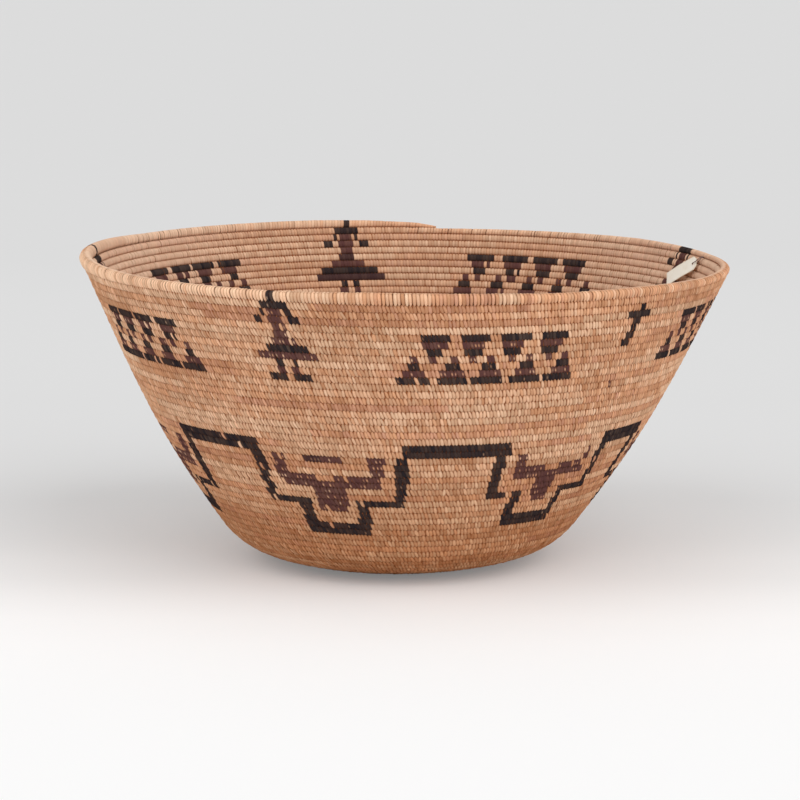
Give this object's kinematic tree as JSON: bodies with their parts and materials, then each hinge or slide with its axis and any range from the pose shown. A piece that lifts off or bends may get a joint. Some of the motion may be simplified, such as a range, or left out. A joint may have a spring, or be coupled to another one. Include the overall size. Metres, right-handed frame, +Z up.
{
  "type": "basketry bowl",
  "caption": "Coiled basketry bowl with a flaring wall, dark sewn figures, stacked triangles and a stepped band on a tan ground, and a small blank paper tag tied inside the rim",
  "frame": {"origin": "on the surface the bowl rests on, under the middle of its plan", "axes": "+Z up, -Y the front of the bowl, +X the side where the tag is tied"},
  "size_m": [0.3614, 0.3614, 0.173],
  "materials": {
    "tan_splint": "dry sewn splints of plant fibre",
    "rim_splint": "dry overcast splints of plant fibre",
    "base_splint": "dry sewn splints, darker with handling",
    "tag_paper": "matt aged paper",
    "tag_thread": "matt dark thread"
  },
  "bodies": {
    "bowl": {"start_knot": "base_splint", "base_coil": "base_splint", "heel_coil_01": "tan_splint", "heel_coil_02": "tan_splint", "heel_coil_03": "tan_splint", "heel_coil_04": "tan_splint", "heel_coil_05": "tan_splint", "heel_coil_06": "tan_splint", "wall_coil_01": "tan_splint", "wall_coil_02": "tan_splint", "wall_coil_03": "tan_splint", "wall_coil_04": "tan_splint", "wall_coil_05": "tan_splint", "wall_coil_06": "tan_splint", "wall_coil_07": "tan_splint", "wall_coil_08": "tan_splint", "wall_coil_09": "tan_splint", "wall_coil_10": "tan_splint", "wall_coil_11": "tan_splint", "wall_coil_12": "tan_splint", "wall_coil_13": "tan_splint", "wall_coil_14": "tan_splint", "wall_coil_15": "tan_splint", "wall_coil_16": "tan_splint", "wall_coil_17": "tan_splint", "wall_coil_18": "tan_splint", "wall_coil_19": "tan_splint", "wall_coil_20": "tan_splint", "wall_coil_21": "tan_splint", "wall_coil_22": "tan_splint", "wall_coil_23": "tan_splint", "wall_coil_24": "tan_splint", "wall_coil_25": "tan_splint", "wall_coil_26": "tan_splint", "wall_coil_27": "tan_splint", "wall_coil_28": "tan_splint", "wall_coil_29": "tan_splint", "wall_coil_30": "tan_splint", "wall_coil_31": "tan_splint", "wall_coil_32": "tan_splint", "wall_coil_33": "tan_splint", "wall_coil_34": "tan_splint", "wall_coil_35": "tan_splint", "wall_coil_36": "tan_splint", "wall_coil_37": "tan_splint", "wall_coil_38": "tan_splint", "rim_coil": "rim_splint", "coil_end": "rim_splint"},
    "tag": {"tag": "tag_paper", "tag_thread": "tag_thread"}
  },
  "joints": [
    {"name": "tag_swing", "type": "hinge", "parent": "bowl", "child": "tag", "pos_m": [0.16949, 0.03718, 0.16412], "axis": [-0.2164, 0.9763, 0.0012], "range_deg": [0, 50]}
  ]
}
